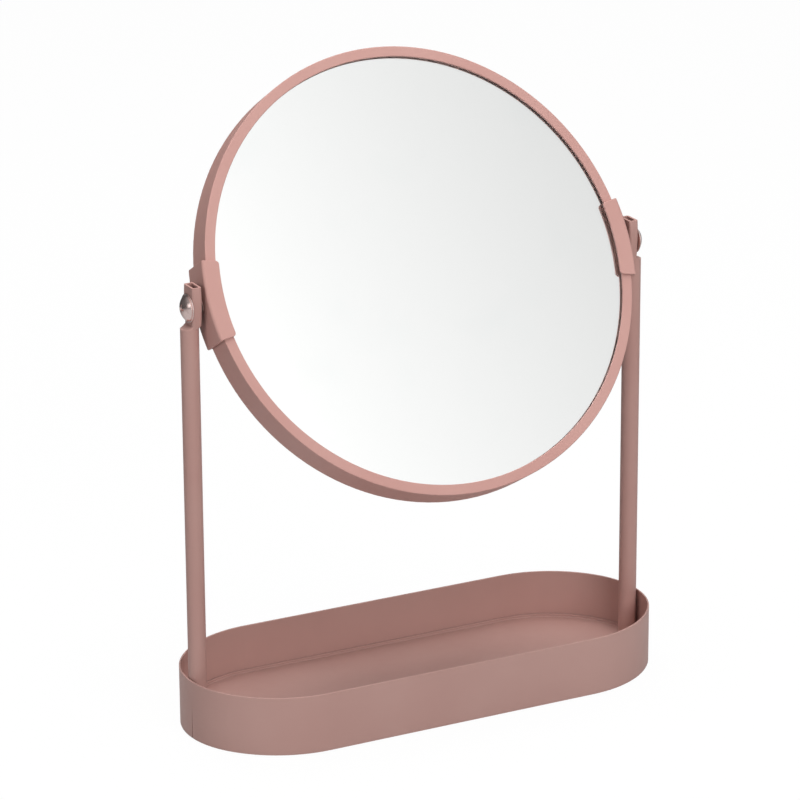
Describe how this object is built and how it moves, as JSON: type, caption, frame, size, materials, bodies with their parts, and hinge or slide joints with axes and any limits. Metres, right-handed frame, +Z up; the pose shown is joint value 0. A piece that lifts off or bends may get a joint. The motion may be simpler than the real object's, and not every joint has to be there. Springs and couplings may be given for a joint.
{
  "type": "tilting vanity mirror with tray base",
  "caption": "Round double-sided vanity mirror that tilts between two slim posts standing in an open oval tray.",
  "frame": {"origin": "on the table under the middle of the tray", "axes": "+Z up, -Y towards the user and the tray's long front side, +X to the user's right"},
  "size_m": [0.2256, 0.114, 0.2842],
  "materials": {
    "powder_coat": "satin dusty pink powder coat",
    "mirror_glass": "silvered polished glass",
    "nickel": "polished nickel plate",
    "nylon": "black moulded nylon",
    "spacer_plastic": "black moulded plastic",
    "pad_rubber": "dark matt rubber",
    "zinc_steel": "zinc plated"
  },
  "bodies": {
    "stand": {"tray_wall": "powder_coat", "tray_floor": "powder_coat", "foot_pads": "pad_rubber", "left_post": "powder_coat", "right_post": "powder_coat", "left_post_insert": "zinc_steel", "right_post_insert": "zinc_steel", "post_screws": "zinc_steel", "post_washers": "zinc_steel", "left_ear_bushing": "nylon", "right_ear_bushing": "nylon"},
    "mirror": {"mirror_frame": "powder_coat", "front_glass": "mirror_glass", "rear_glass": "mirror_glass", "glass_spacer": "spacer_plastic", "left_saddle": "powder_coat", "right_saddle": "powder_coat", "left_pivot_bush": "powder_coat", "right_pivot_bush": "powder_coat", "left_pivot_screw": "nickel", "right_pivot_screw": "nickel", "left_head_washer": "nickel", "right_head_washer": "nickel"}
  },
  "joints": [
    {"name": "mirror_tilt", "type": "hinge", "parent": "stand", "child": "mirror", "pos_m": [0, 0, 0.1944], "axis": [1, 0, 0], "continuous": true}
  ]
}
